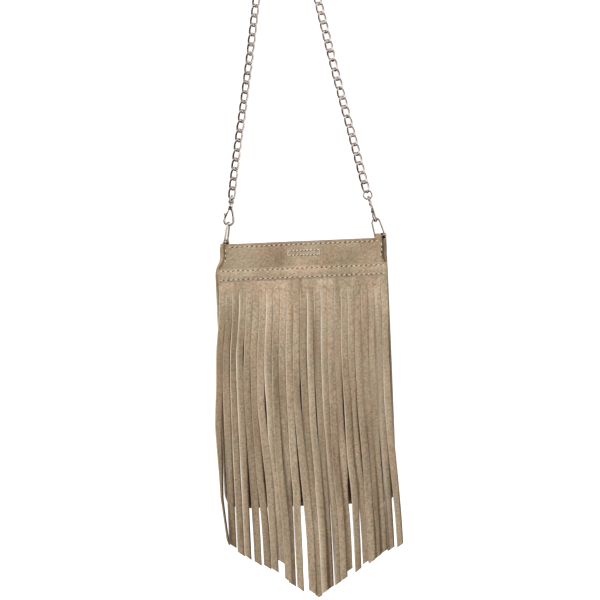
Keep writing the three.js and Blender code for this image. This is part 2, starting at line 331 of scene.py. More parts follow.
jump_ring("left", left_side, Matrix.Rotation(math.radians(90), 4, "Y"), 3.3)
jump_ring("right", right_side, Matrix.Rotation(math.radians(90), 4, "X"), 4.4)

# ---- Shackles and their pins ----
# Each shackle is a wire arch whose feet end in balls, with a cross pin between the
# balls. The left one is seen nearly edge-on and the right one face-on.
shackle_wire, shackle_arc, shackle_foot, ball_radius = 1.15, 4.2, 5.0, 2.1
shackle_rise = shackle_len - shackle_arc
pin_drop = {"left": 2.6, "right": 0.7}


def bent_wire(name, points, radius, taper=None, sides=14):
    """Round wire along points in X and Z, with its ends closed, as a mesh."""
    data = bpy.data.curves.new(name, "CURVE")
    data.dimensions = "3D"
    data.bevel_depth = radius * MM
    data.bevel_resolution = sides // 2 - 1
    data.use_fill_caps = True
    data.resolution_u = 4
    spline = data.splines.new("POLY")
    spline.points.add(len(points) - 1)
    for i, (point, (x, z)) in enumerate(zip(spline.points, points)):
        point.co = (x * MM, 0, z * MM, 1)
        point.radius = taper[i] if taper else 1
    item = bpy.data.objects.new(name, data)
    bpy.context.scene.collection.objects.link(item)
    select_only(item)
    bpy.ops.object.convert(target="MESH")
    item = named(name)
    return outward(item)


def arch_points(drop):
    points = [(-shackle_foot, -drop)]
    for share in (0.15, 0.3, 0.45, 0.6, 0.75, 0.9):
        points.append((-shackle_foot + (shackle_foot - shackle_arc) * share ** 1.3, shackle_rise * share))
    for i in range(17):
        turn = math.pi * (1 - i / 16)
        points.append((shackle_arc * math.cos(turn), shackle_rise + shackle_arc * math.sin(turn)))
    mirrored = [(-x, z) for x, z in reversed(points[:7])]
    return points + mirrored


def shackle(side, frame_matrix):
    arch = bent_wire(f"{side}_shackle_wire", arch_points(pin_drop[side]), shackle_wire, sides=16)
    balls = []
    for end in (-1, 1):
        bpy.ops.mesh.primitive_uv_sphere_add(
            segments=24, ring_count=16, radius=ball_radius * MM,
            location=(end * shackle_foot * MM, 0, -pin_drop[side] * MM), rotation=(0, math.radians(90), 0),
        )
        balls.append(named(f"ball_{end}"))
    for ball in balls:
        select_only(ball)
        bpy.ops.object.transform_apply(location=True, rotation=True, scale=True)
        apply_modifier(arch, "BOOLEAN", object=ball, operation="UNION", solver="EXACT")
        bpy.data.objects.remove(ball)
    arch.data.transform(frame_matrix)
    smooth(arch, 40)
    dress(arch, plating, "bag", "plated_metal", f"{side}_shackle")


def cross_pin(side, frame_matrix):
    bpy.ops.mesh.primitive_cylinder_add(
        vertices=24, radius=0.9 * MM, depth=2 * (shackle_foot - ball_radius - 0.3) * MM,
        rotation=(0, math.radians(90), 0),
    )
    pin = named(f"{side}_cross_pin")
    bpy.ops.object.transform_apply(location=True, rotation=True, scale=True)
    apply_modifier(pin, "BEVEL", width=0.15 * MM, segments=2)
    pin.data.transform(frame_matrix @ Matrix.Translation((0, 0, -pin_drop[side] * MM)))
    smooth(pin)
    dress(pin, plating, "bag", "plated_metal", f"{side}_shackle_pin")


left_shackle_turn = math.radians(74)
left_shackle_place = left_side @ Matrix.Rotation(left_shackle_turn, 4, "Z")
shackle("left", left_shackle_place)
cross_pin("left", left_shackle_place)
shackle("right", right_side)
cross_pin("right", right_side)

# ---- Lobster clasps ----
# A cast hook with a barrel and an eye on top, and a thumb lever on a small pin, shut by
# a leaf spring. The lever's end lies against the hook's nose.
hook_wire, hook_arc = 1.2, 4.8
lever_x, lever_z = -1.1, 17.4
right_clasp_turn = math.radians(75)


def ease(share):
    share = min(max(share, 0.0), 1.0)
    return share * share * (3 - 2 * share)


def hook_line():
    points = [(0.3, 20.5), (0.95, 18.9), (1.8, 16.8), (2.6, 14.5), (3.35, 12.2), (4.05, 9.7), (4.55, 7.5)]
    for i in range(17):
        turn = math.radians(8 - i * 186 / 16)
        points.append((hook_arc * math.cos(turn), hook_arc + hook_arc * math.sin(turn)))
    return points + [(-4.78, 5.4), (-4.7, 6.55)]


def clasp_body(side, frame_matrix, body):
    line = hook_line()
    thick = []
    for i in range(len(line)):
        share = i / (len(line) - 1)
        thick.append(1.22 - 0.12 * math.sin(share * math.pi) - 0.12 * ease((share - 0.85) / 0.15))
    hook = bent_wire(f"{side}_clasp_body", line, hook_wire, thick, sides=16)
    extras = []
    bpy.ops.mesh.primitive_uv_sphere_add(
        segments=24, ring_count=16, radius=1 * MM, location=(0.1 * MM, 0, 20.0 * MM)
    )
    barrel = named("barrel")
    barrel.scale = (2.25, 1.95, 3.1)
    extras.append(barrel)
    bpy.ops.mesh.primitive_torus_add(
        major_radius=eye_radius * MM, minor_radius=1.1 * MM, major_segments=32, minor_segments=14,
        location=(0, 0, eye_height * MM), rotation=(math.radians(90), 0, 0),
    )
    extras.append(named("eye"))
    bpy.ops.mesh.primitive_cylinder_add(
        vertices=24, radius=1.75 * MM, depth=1.1 * MM, location=(0.05 * MM, 0, 22.2 * MM)
    )
    extras.append(named("collar"))
    bpy.ops.mesh.primitive_cube_add(size=1 * MM, location=((lever_x + 0.5) * MM, 0, (lever_z + 0.6) * MM))
    lug = named("lug")
    lug.scale = (3.4, 2.4, 4.4)
    extras.append(lug)
    for extra in extras:
        select_only(extra)
        bpy.ops.object.transform_apply(location=True, rotation=True, scale=True)
        if extra.name.startswith("lug"):
            apply_modifier(extra, "BEVEL", width=0.5 * MM, segments=3)
        apply_modifier(hook, "BOOLEAN", object=extra, operation="UNION", solver="EXACT")
        bpy.data.objects.remove(extra)
    bpy.ops.mesh.primitive_cube_add(size=1 * MM, location=((lever_x - 0.9) * MM, 0, (lever_z - 0.4) * MM))
    slot_cutter = named("slot_cutter")
    slot_cutter.scale = (5, 1.5, 5.4)
    select_only(slot_cutter)
    bpy.ops.object.transform_apply(location=True, rotation=True, scale=True)
    apply_modifier(hook, "BOOLEAN", object=slot_cutter, operation="DIFFERENCE", solver="EXACT")
    bpy.data.objects.remove(slot_cutter)
    hook.data.transform(frame_matrix)
    smooth(hook, 35)
    dress(hook, plating, body, "plated_metal", f"{side}_clasp_hook")


def plan_plate(name, outline, thickness, bevel):
    """A flat plate of an outline in X and Z, centred on Y, with eased edges."""
    bpy.ops.mesh.primitive_circle_add(vertices=len(outline), radius=1, fill_type="NGON")
    item = named(name)
    for vertex, (x, z) in zip(item.data.vertices, outline):
        vertex.co = (x * MM, -thickness / 2 * MM, z * MM)
    select_only(item)
    bpy.ops.object.mode_set(mode="EDIT")
    bpy.ops.mesh.select_all(action="SELECT")
    bpy.ops.mesh.extrude_region_move(TRANSFORM_OT_translate={"value": (0, thickness * MM, 0)})
    bpy.ops.mesh.select_all(action="SELECT")
    bpy.ops.mesh.normals_make_consistent(inside=False)
    bpy.ops.object.mode_set(mode="OBJECT")
    apply_modifier(item, "BEVEL", width=bevel * MM, segments=2)
    return item


def clasp_lever(side, frame_matrix, body):
    outline = [
        (lever_x - 1.1, lever_z + 0.6), (lever_x - 0.2, lever_z + 0.95), (lever_x + 0.75, lever_z + 0.7),
        (lever_x + 0.75, lever_z - 0.1), (lever_x + 0.25, lever_z - 1.4), (-2.0, 11.6),
        (-3.5, 6.75), (-4.3, 6.6), (-5.2, 6.7), (-5.3, 8.2), (-4.9, 9.4), (-5.6, 10.0), (-6.4, 11.0),
        (-6.5, 11.6), (-6.2, 12.1), (-5.2, 12.1), (-3.9, 12.4), (-2.9, 14.6),
    ]
    item = plan_plate(f"{side}_thumb_lever", outline, 1.35, 0.3)
    item.data.transform(frame_matrix)
    smooth(item, 35)
    dress(item, plating, body, "plated_metal", f"{side}_clasp_lever")


left_hook_place = left_side @ Matrix.Translation((0, 0, (shackle_len - hook_seat) * MM))
right_hook_place = (
    right_side @ Matrix.Translation((0, 0, (shackle_len - hook_seat) * MM))
    @ Matrix.Rotation(right_clasp_turn, 4, "Z")
)
steel = make_metal("nickel_steel", (0.60, 0.59, 0.57, 1), 0.28)


def plain_steel(*nodes):
    """Pieces kept as the frame has them, in plain steel."""
    for node in nodes:
        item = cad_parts[node]
        item.data.materials.clear()
        item.data.materials.append(steel)


for side, place in (("left", left_hook_place), ("right", right_hook_place)):
    clasp_body(side, place, f"{side}_clasp")
    clasp_lever(side, place, f"{side}_lever")
    plain_steel(f"{side}_lever_pin", f"{side}_lever_spring")

# ---- Suede ----
# Split suede in taupe beige. The nap lies in soft lighter and darker clouds over a fine
# grain. Where the hide is cut its edge is paler and rougher, and on the fringe strips
# that pale edge is partly a painted highlight.
suede_dark, suede_mid, suede_light = (0.286, 0.213, 0.138), (0.407, 0.314, 0.211), (0.497, 0.397, 0.281)
# The pale edge colour: the raw cut edge's own paler colour, also used as a painted highlight on the strips'
# lit edges.
raw_edge_and_highlight = (0.86, 0.75, 0.60)


def make_suede(name, dark, mid, light, cloud=(26, 26, 18), marked=False):
    """Suede, with an "edge" mark for pale raw edges that are partly a painted highlight, and a "tone" mark
    for random tone, painted shade and painted light.
    """
    suede, shader = new_material(
        name, Roughness=0.95, Specular_IOR_Level=0.15,
        Sheen_Weight=0.18, Sheen_Roughness=0.55, Sheen_Tint=(0.95, 0.86, 0.74, 1),
    )
    place = add_node(suede, "ShaderNodeTexCoord")
    stretch = add_node(suede, "ShaderNodeMapping", Scale=cloud)
    clouds = add_node(suede, "ShaderNodeTexNoise", Scale=1.0, Detail=3.0, Roughness=0.55)
    blush = add_node(suede, "ShaderNodeTexNoise", Scale=40.0, Detail=2.0, Roughness=0.6)
    nap = add_node(suede, "ShaderNodeTexNoise", Scale=480.0, Detail=4.0, Roughness=0.75)
    grain = add_node(suede, "ShaderNodeTexNoise", Scale=1500.0, Detail=2.0, Roughness=0.7)
    tone = color_ramp(suede, (0.28, dark), (0.5, mid), (0.74, light))
    pink = color_ramp(suede, (0.35, (0.985, 1.0, 0.99)), (0.65, (1.05, 0.985, 0.975)))
    speck = color_ramp(
        suede, (0.32, (0.58, 0.55, 0.51)), (0.5, (0.98, 0.98, 0.98)), (0.68, (1.34, 1.34, 1.34))
    )
    blushed = add_node(suede, "ShaderNodeMix", data_type="RGBA", blend_type="MULTIPLY", Factor=1.0)
    mixed = add_node(suede, "ShaderNodeMix", data_type="RGBA", blend_type="MULTIPLY", Factor=1.0)
    sum_node = add_node(suede, "ShaderNodeMath", operation="ADD")
    share = add_node(suede, "ShaderNodeMath", operation="MULTIPLY")
    share.inputs[1].default_value = 0.6
    bump = add_node(suede, "ShaderNodeBump", Strength=0.6, Distance=0.00035)
    wire_up(
        suede,
        (place.outputs["Object"], stretch.inputs["Vector"]),
        (stretch.outputs["Vector"], clouds.inputs["Vector"]),
        (place.outputs["Object"], nap.inputs["Vector"]),
        (place.outputs["Object"], blush.inputs["Vector"]),
        (place.outputs["Object"], grain.inputs["Vector"]),
        (clouds.outputs["Fac"], tone.inputs["Fac"]),
        (blush.outputs["Fac"], pink.inputs["Fac"]),
        (nap.outputs["Fac"], speck.inputs["Fac"]),
        (tone.outputs["Color"], blushed.inputs["A"]),
        (pink.outputs["Color"], blushed.inputs["B"]),
        (blushed.outputs["Result"], mixed.inputs["A"]),
        (speck.outputs["Color"], mixed.inputs["B"]),
        (grain.outputs["Fac"], share.inputs[0]),
        (nap.outputs["Fac"], sum_node.inputs[0]),
        (share.outputs["Value"], sum_node.inputs[1]),
        (sum_node.outputs["Value"], bump.inputs["Height"]),
        (bump.outputs["Normal"], shader.inputs["Normal"]),
    )
    finish = mixed.outputs["Result"]
    if marked:
        pale_edge_and_highlight_mark = add_node(suede, "ShaderNodeAttribute", attribute_name="edge")
        tone_and_shade_mark = add_node(suede, "ShaderNodeAttribute", attribute_name="tone")
        tone_share = add_node(suede, "ShaderNodeMath", operation="MULTIPLY_ADD")
        tone_share.inputs[1].default_value = 0.5
        tone_share.inputs[2].default_value = 0.5
        # The tone mark darkens or lightens the colour here, for random tone as well as painted shade and
        # painted light.
        shade = color_ramp(
            suede, (0.0, (0.03, 0.018, 0.01)), (0.2, (0.40, 0.335, 0.26)), (0.35, (0.71, 0.665, 0.61)),
            (0.5, (1, 1, 1)), (0.62, (1.24, 1.25, 1.27)),
        )
        toned = add_node(suede, "ShaderNodeMix", data_type="RGBA", blend_type="MULTIPLY", Factor=1.0)
        edged = add_node(suede, "ShaderNodeMix", data_type="RGBA", B=(*raw_edge_and_highlight, 1))
        wire_up(
            suede,
            (tone_and_shade_mark.outputs["Fac"], tone_share.inputs[0]),
            (tone_share.outputs["Value"], shade.inputs["Fac"]),
            (finish, toned.inputs["A"]),
            (shade.outputs["Color"], toned.inputs["B"]),
            (pale_edge_and_highlight_mark.outputs["Fac"], edged.inputs["Factor"]),
            (toned.outputs["Result"], edged.inputs["A"]),
        )
        finish = edged.outputs["Result"]
    wire_up(suede, (finish, shader.inputs["Base Color"]))
    return suede


suede = make_suede("taupe_suede", suede_dark, suede_mid, suede_light)
strip_suede = make_suede("fringe_suede", suede_dark, suede_mid, suede_light, cloud=(90, 50, 9), marked=True)
# The cut edges carry the marks of their sheets, so painted shade, painted light and the pale edge with its
# painted highlight run onto the rims too.
cut_edge = make_suede(
    "cut_suede_edge", (0.36, 0.29, 0.21), (0.47, 0.385, 0.29), (0.56, 0.47, 0.365), cloud=(90, 90, 90),
    marked=True,
)

# ---- Front and back panels ----
# Two suede panels make the pouch's flat walls. Their top edges are turned in and sewn
# down, and the walls bow out a little below the mouth.
suede_thick = 1.25
pouch_height, corner = 276.0, 16.0
top_half, wall_half = 82.4, 87.4
hem_turn, hem_depth = 0.9, 9.0


def wall_width(z):
    """Half the pouch's width at a height below its top edge."""
    half = top_half + (wall_half - top_half) * ease((-z - 15) / 14)
    low = -z - (pouch_height - corner)
    if low > 0:
        half -= corner - math.sqrt(max(corner ** 2 - low ** 2, 0))
    return half


def wall_depth(x, z):
    """Half the pouch's thickness, to the outer face of a panel."""
    down = min(max(-z / pouch_height, 0), 1)
    across = min(abs(x) / wall_half, 1)
    belly = 2.6 * math.sin(math.pi * down ** 0.8) * (1 - across ** 2.4)
    foot = -2.2 * ease((down - 0.86) / 0.14)
    ripple = 0.25 * math.sin(x * 0.055 + z * 0.021) + 0.2 * math.sin(z * 0.048 - x * 0.03)
    return 8.0 + belly + foot + ripple * ease(down * 4) - 0.7 * across ** 3


def sheet_grid(name, columns, rows, place, **marks):
    """A sheet made from a grid primitive, with each point set by place(u, v), in mm.

    Each mark is a value over the sheet, kept as an attribute for its material.
    """
    bpy.ops.mesh.primitive_grid_add(x_subdivisions=columns, y_subdivisions=rows, size=2)
    item = named(name)
    spots = [((v.co.x + 1) / 2, (1 - v.co.y) / 2) for v in item.data.vertices]
    for mark, value in marks.items():
        attribute = item.data.attributes.new(mark, "FLOAT", "POINT")
        attribute.data.foreach_set("value", [value(u, v) for u, v in spots])
    for vertex, (u, v) in zip(item.data.vertices, spots):
        vertex.co = Vector(place(u, v)) * MM
    return item


def give_thickness(item, thickness, material, edge_material, bevel=0.25):
    """Turns the sheet into a closed skin with paler cut edges."""
    item.data.materials.clear()
    item.data.materials.append(material)
    item.data.materials.append(edge_material)
    apply_modifier(
        item, "SOLIDIFY", thickness=thickness * MM, offset=0,
        use_rim=True, material_offset_rim=1, use_quality_normals=True,
    )
    if bevel:
        apply_modifier(
            item, "BEVEL", width=bevel * MM, segments=2, limit_method="ANGLE",
            angle_limit=math.radians(60), harden_normals=False,
        )
    smooth(item, 50)


def drift(z):
    """The pouch hangs a little to the left of the line between its two tabs."""
    return -1.2 - 3.2 * ease((-z - 10) / 20) - 0.6 * ease((-z - 60) / 220)


def bag_point(x, y, z):
    return (bag_x + x + drift(z), y, bag_top + z)


def panel_point(facing):
    """Points of a panel: v runs up the turned-in hem, over the fold and down the face."""
    fold = math.pi * hem_turn
    total = hem_depth + fold + pouch_height - hem_turn

    def place(u, v):
        run = v ** 1.15 * total
        across = 2 * u - 1
        if run < hem_depth:
            z = -hem_turn - (hem_depth - run)
            offset = -2 * hem_turn
        elif run < hem_depth + fold:
            turn = (run - hem_depth) / hem_turn
            z = -hem_turn + hem_turn * math.sin(turn)
            offset = -hem_turn - hem_turn * math.cos(turn)
        else:
            z = -hem_turn - (run - hem_depth - fold)
            offset = 0
        z = max(z, -pouch_height + 0.5)
        x = across * wall_width(z)
        depth = wall_depth(x, z) - suede_thick / 2 + offset
        depth -= 0.35 * math.exp(-((z + 3.0) / 1.1) ** 2) * (offset == 0)
        return bag_point(x, facing * depth, z)

    return place


def wall_painted_shade_and_light(facing):
    """Darker in the fold of the hem. Painted shade along the side seams and on the wall behind the fringe,
    where shadow falls, and a painted slope of light across the front's upper band, darker at its left and
    lighter at its right.
    """
    def value(u, v):
        run = v ** 1.15
        across = 0.16 * u - 0.07 if facing < 0 and run < 0.18 else 0
        fold = -0.42 * math.exp(-((run - 0.035) / 0.007) ** 2)
        seam = -0.35 * ease((abs(2 * u - 1) - 0.97) / 0.03)
        behind = -0.62 if facing < 0 and 0.18 < run < 0.99 else 0
        return min(fold, seam, behind, 0) + across

    return value


wall_suede = make_suede("wall_suede", suede_dark, suede_mid, suede_light, marked=True)
for name, facing, node in (("front_wall", -1, "front_panel"), ("back_wall", 1, "back_panel")):
    wall = sheet_grid(name, 72, 110, panel_point(facing), tone=wall_painted_shade_and_light(facing))
    give_thickness(wall, suede_thick, wall_suede, cut_edge)
    belong(wall, "bag", "suede", node)

# ---- Gusset ----
# One narrow suede strip runs down the left side, along the bottom and up the right side.
# It bows out between the two panels, and its right end stands up behind the shackle.
gusset_top, gusset_side = 87.4, 90.6
gusset_flap = 6.6


def gusset_line():
    line = [(-top_half, 1.2)]
    line += [(-wall_width(-z), -z) for z in range(6, int(pouch_height - corner), 6)]
    for i in range(9):
        turn = math.pi + math.pi / 2 * i / 8
        line.append((
            -wall_half + corner + corner * math.cos(turn),
            -pouch_height + corner + corner * math.sin(turn),
        ))
    line += [(x, -pouch_height) for x in range(-66, 1, 6)]
    line += [(-x, z) for x, z in reversed(line[:-1])]
    line[-1] = (top_half, -0.8)
    return [(x, 0, z) for x, z in line]


gusset_stations, gusset_length = curve_points(gusset_line(), 3.0)


def gusset_point(u, v):
    place = v * (len(gusset_stations) - 1)
    i = min(int(place), len(gusset_stations) - 2)
    here = gusset_stations[i].lerp(gusset_stations[i + 1], place - i)
    along = (gusset_stations[i + 1] - gusset_stations[i]).normalized()
    out = Vector((along.z, 0, -along.x))
    if i < len(gusset_stations) / 2 and out.x > 0.5 or i > len(gusset_stations) / 2 and out.x < -0.5:
        out = -out
    if abs(out.x) < 0.5 and out.z > 0:
        out = -out
    across = 2 * u - 1
    half = wall_depth(here.x, here.z) - suede_thick - 0.3
    outline = gusset_top + (gusset_side - gusset_top) * ease((-here.z - 14) / 14)
    crown = outline - wall_width(here.z) - suede_thick / 2 if here.z > corner - pouch_height else 2.6
    bow = (crown + 0.7) * (1 - across ** 2) - 0.7
    x = here.x + out.x * bow
    z = here.z + out.z * bow * (0.3 if abs(out.z) > 0.7 else 1)
    if here.x > 0:
        z += gusset_flap * ease((across + 0.15) / 0.5) * ease((here.z + 7) / 7)
    return bag_point(x, across * half, z)


# Painted shade: the gusset is darker near both seams, where shadow falls, and darkest in the hollow at its
# right end behind the shackle.
def gusset_painted_shade(u, v):
    seam = -0.6 * ease((abs(2 * u - 1) - 0.62) / 0.25)
    hollow = -0.84 * ease((u - 0.52) / 0.12) * ease((v - 0.985) / 0.008)
    return min(seam, hollow)


side_strip = sheet_grid("side_gusset", 12, 220, gusset_point, tone=gusset_painted_shade)
give_thickness(side_strip, suede_thick, wall_suede, cut_edge)
belong(side_strip, "bag", "suede", "gusset")

# ---- Fringe panel ----
# One suede panel hangs on the pouch's front. Below a plain margin it is slit into strips,
# which hang close together, twist and part lower down, and end along a point-down line.
fringe_half, fringe_top, slit_top = 88.2, 29.0, 48.0
fringe_left, fringe_right, fringe_point = 311.0, 318.0, 373.0
strip_count = 25
strip_pitch = 2 * fringe_half / strip_count
# How far each strip has swung sideways halfway down and at its foot, and how much
# shorter or longer than the point-down line it is cut.
mid_swing = [
    0, -5.2, -4.4, -4.5, -4.2, -4.3, -4.0, -3.5, -3.0, -2.6, -2.2, -1.8, -1.3,
    -0.6, -0.2, 0.0, 0.0, 0.1, 0.2, 0.4, 0.5, 0.5, 0.3, 0.6, 0.8,
]
foot_swing = [
    0, -4.8, -3.6, -3.5, -0.3, 2.2, 2.8, 3.2, 2.4, -0.8, 0.6, 5.6, 5.2,
    4.8, 3.6, 4.4, 4.2, 2.6, 5.0, 6.8, 5.7, 5.3, 4.7, 5.1, 7.6,
]
cut_short = {0: 2, 1: 3, 7: 14, 17: 5, 19: 4, 24: -2}
# Where two neighbours stand apart: strip on the left, depth, half the length, width.
partings = [
    (3, 118, 16, 1.0), (4, 146, 28, 0.9), (6, 173, 24, 1.7), (8, 240, 46, 2.2), (11, 160, 18, 1.3),
    (13, 190, 40, 1.3), (16, 234, 32, 1.9), (17, 180, 36, 1.8), (17, 264, 26, 2.2), (19, 192, 46, 2.0),
    (20, 178, 24, 1.4), (5, 250, 28, 1.4), (9, 262, 20, 1.4), (19, 240, 30, 1.2), (22, 236, 40, 1.2),
]
side_swing = [
    (48, 0), (70, -0.5), (110, -3.6), (150, -5.2), (170, -6.6), (190, -7.8), (237, -7.0), (265, -7.0),
    (312, -2.4),
]
# How strong each strip's pale left edge is: partly its raw cut edge, partly a painted highlight on the edge
# that faces the light.
pale_edges_and_highlights = {
    1: 0.6, 2: 0.8, 3: 1.0, 4: 0.5, 6: 0.4, 7: 1.0, 8: 0.35, 10: 0.55, 12: 0.6, 13: 1.0, 14: 0.7, 15: 1.0,
    17: 0.5, 18: 0.7, 19: 0.5, 21: 0.6, 23: 1.0, 24: 0.9,
}


def fringe_shift(z):
    """The fringe is sewn on a little to the right, and its strips drift back to the left."""
    return 0.6 - 1.8 * ease((-z - 60) / 60)


def fringe_rest(x, z):
    """Where the hanging fringe's middle lies in Y: on the wall, and plumb below its belly."""
    reach = 0
    for step in range(0, 7):
        level = z * step / 6
        reach = max(reach, wall_depth(x, level))
    return -(reach + suede_thick / 2 + 0.35)


def strip_foot(x):
    side = fringe_left if x < 0 else fringe_right
    return -fringe_point + (fringe_point - side) * abs(x) / fringe_half


rng = random.Random(5)
strips = []
for i in range(strip_count):
    habit = {
        "number": i,
        "turn_high": rng.uniform(-7, 3),
        "turn_low": rng.choice((-1, -1, 1)) * rng.uniform(4, 26),
        "start": rng.uniform(0.25, 0.7),
        "wave": rng.uniform(-1.0, 1.0),
        "phase": rng.uniform(0, 6.28),
        "lift": rng.uniform(0, 3.4),
        "tone": rng.uniform(-0.17, 0.12),
        "pale": pale_edges_and_highlights.get(i, rng.uniform(0.1, 0.4)),
        "long": cut_short.get(i, rng.uniform(-1.5, 1.5)),
    }
    if i and foot_swing[i] - foot_swing[i - 1] < 0.8:
        last = strips[-1]["lift"]
        if abs(habit["lift"] - last) < 1.6:
            habit["lift"] = last + 1.7 if last < 1.8 else last - 1.7
    strips.append(habit)
# Strip 0 hangs turned away at the pouch's side; its darker tone is painted shade.
strips[0].update(turn_high=-12, turn_low=-76, start=0.35, wave=0.0, lift=0.0, tone=-0.24, pale=0.7)
strips[1].update(tone=-0.12)
strips[12].update(tone=-0.16)
strips[13].update(turn_high=-10, turn_low=-20, start=0.45, tone=0.05)
strips[14].update(tone=-0.14)
strips[24].update(turn_low=-36)
strips[18].update(turn_low=28)
strip_across = [0, 0.09, 0.15, 0.5, 0.80, 0.91, 1]


def strip_point(habit):
    number = habit["number"]
    centre = -fringe_half + (number + 0.5) * strip_pitch
    foot_mid = strip_foot(centre) + habit["long"]

    def place(u, v):
        half = strip_pitch / 2 - 0.10 + 0.35 * ease((v - 0.2) / 0.5)
        across = (2 * np.interp(u * 6, range(7), strip_across) - 1) * half
        foot = foot_mid + (strip_foot(centre + across) - strip_foot(centre))
        z = -slit_top + (foot + slit_top) * v
        low = ease((v - habit["start"]) / 0.6)
        fall = max(-z - slit_top, 0) / 300
        turn = math.radians(
            habit["turn_high"] * ease(v / 0.15) * (1 - low) + habit["turn_low"] * low
            + 4 * math.sin(v * 9 + habit["phase"]) * ease(v * 3)
        )
        if number:
            lower = ease((-z - 150) / 175)
            swing = mid_swing[number] * ease((-z - 40) / 112) * (1 - lower) + foot_swing[number] * lower
            swing += habit["wave"] * 0.8 * math.sin(v * 7 + habit["phase"]) * fall * (1 - v)
        else:
            swing = np.interp(-z, *zip(*side_swing))
        swing += fringe_shift(z)
        for left, depth, reach, width in partings:
            push = width / 2 * math.exp(-((-z - depth) / reach) ** 2 * 1.2)
            if left == number:
                swing -= push
            elif left + 1 == number:
                swing += push
        lift = habit["lift"] * fall + abs(math.sin(turn)) * half
        curl = 0.35 * (1 - (across / half) ** 2) * ease(v * 4)
        x = centre + swing + across * math.cos(turn)
        y = fringe_rest(centre, z) - lift - curl + across * math.sin(turn)
        return bag_point(x, y, z)

    return place


def margin_point(u, v):
    x = (2 * u - 1) * fringe_half
    z = -fringe_top + (fringe_top - slit_top) * v
    return bag_point(x + fringe_shift(z), fringe_rest(x, z), z)


def painted_light_below_cover(z):
    """Painted light: the nap is painted paler where the fringe leaves the cover strip, standing in for the
    lit bulge there.
    """
    return 0.21 * (1 - ease((-z - 50) / 62))


# A strip's tone: painted light below the cover strip, a random tone of its own, and painted shadow along its
# tucked right edge, deeper lower down.
def tone_and_shade_mark(habit):
    def value(u, v):
        z = -slit_top - v * 280
        tucked = {6: 1.0, 5: 0.8, 4: 0.2}.get(round(u * 6), 0.0)
        depth = 0.26 + 0.42 * ease((v - 0.3) / 0.4)
        shade = habit["tone"] - depth * tucked * (0.6 + 0.4 * math.sin(v * 5 + habit["phase"]))
        return painted_light_below_cover(z) + shade * ease(v / 0.1)

    return value


# A strip's pale left edge, partly its raw cut edge and partly a painted highlight.
def pale_edge_and_highlight_mark(habit):
    def value(u, v):
        left = {0: 1.0, 1: 1.0, 2: 0.05 + 0.3 * (habit["pale"] > 0.9)}.get(round(u * 6), 0.0)
        worn = 0.75 + 0.25 * math.sin(v * 23 + habit["phase"] * 3) * math.sin(v * 7 + habit["phase"])
        return left * habit["pale"] * worn * ease(v / 0.03)

    return value


parts = [sheet_grid(
    "margin", strip_count * 4, 8, margin_point,
    edge=lambda u, v: 0.0, tone=lambda u, v: painted_light_below_cover(-slit_top),
)]
for habit in strips:
    parts.append(sheet_grid(
        f"strip_{habit['number']}", 6, 74, strip_point(habit),
        edge=pale_edge_and_highlight_mark(habit), tone=tone_and_shade_mark(habit),
    ))
fringe = joined(parts, "suede_fringe")
give_thickness(fringe, suede_thick, strip_suede, cut_edge, bevel=0)
belong(fringe, "bag", "suede", "fringe_panel")

# ---- Cover strip ----
# A flat suede strip hides the fringe panel's sewn top edge. It is stitched along both
# of its own edges, puffs up between the two rows, and its lower edge is pressed in.
strip_top, strip_bottom = 25.7, 40.5
rows_z = (28.1, 37.2)
cover_half = fringe_half + 0.5
cover_level, cover_gap, cover_puff = -38.0, 0.45, 0.45


def cover_point(u, v):
    z = -strip_top + (strip_top - strip_bottom) * v
    x = (2 * u - 1) * cover_half + fringe_shift(z)
    y = fringe_rest(x, cover_level) - suede_thick / 2 - cover_gap
    y -= cover_puff * math.exp(-((z + 32.6) / 3.2) ** 2)
    for row in rows_z:
        y += 0.35 * math.exp(-((z + row) / 0.9) ** 2)
    y += 1.1 * ease((-z - rows_z[1] - 0.2) / 3.0)
    return bag_point(x, y, z)


# The cover strip's tone of 0.16 paints it paler all over, a painted highlight for its lit, puffed face.
cover = sheet_grid("cover_band", 80, 18, cover_point, tone=lambda u, v: 0.16)
give_thickness(cover, 0.9, wall_suede, wall_suede)
belong(cover, "bag", "suede", "cover_strip")

# ---- Stitching ----
# Cream thread in five-millimetre lock stitches holds the hems, the cover strip, the side
# seams and the patch over the snap. Each stitch dips into a needle hole, whose shadow is painted as a dark
# bead.
stitch_pitch, stitch_long, stitch_thick = 5.2, 3.2, 0.7
thread, shader = new_material("cream_thread", Roughness=0.75, Sheen_Weight=0.3)
place = add_node(thread, "ShaderNodeTexCoord")
ply = add_node(thread, "ShaderNodeTexNoise", Scale=2600.0, Detail=2.0)
shades = color_ramp(thread, (0.3, (0.68, 0.58, 0.44)), (0.7, (0.90, 0.82, 0.68)))
bump = add_node(thread, "ShaderNodeBump", Strength=0.5, Distance=0.0002)
wire_up(
    thread,
    (place.outputs["Object"], ply.inputs["Vector"]),
    (ply.outputs["Fac"], shades.inputs["Fac"]),
    (shades.outputs["Color"], shader.inputs["Base Color"]),
    (ply.outputs["Fac"], bump.inputs["Height"]),
    (bump.outputs["Normal"], shader.inputs["Normal"]),
)
# Near-black suede for the needle holes: painted shade for the shadow inside each hole.
hole_painted_shade = make_suede("needle_hole_shade", (0.05, 0.028, 0.014), (0.085, 0.05, 0.027), (0.12, 0.075, 0.042))


def bead(name, length, width, height, segments, rings):
    bpy.ops.mesh.primitive_uv_sphere_add(segments=segments, ring_count=rings, radius=1)
    item = named(name)
    for vertex in item.data.vertices:
        x, y, z = vertex.co
        vertex.co = (z * length / 2 * MM, x * width / 2 * MM, y * height / 2 * MM)
    return item


stitch_model = bead("stitch", stitch_long, 0.95, stitch_thick * 1.6, 8, 7)
hole_model = bead("hole", 2.0, 1.15, 0.9, 8, 5)
stitches, holes = [], []
rng = random.Random(3)


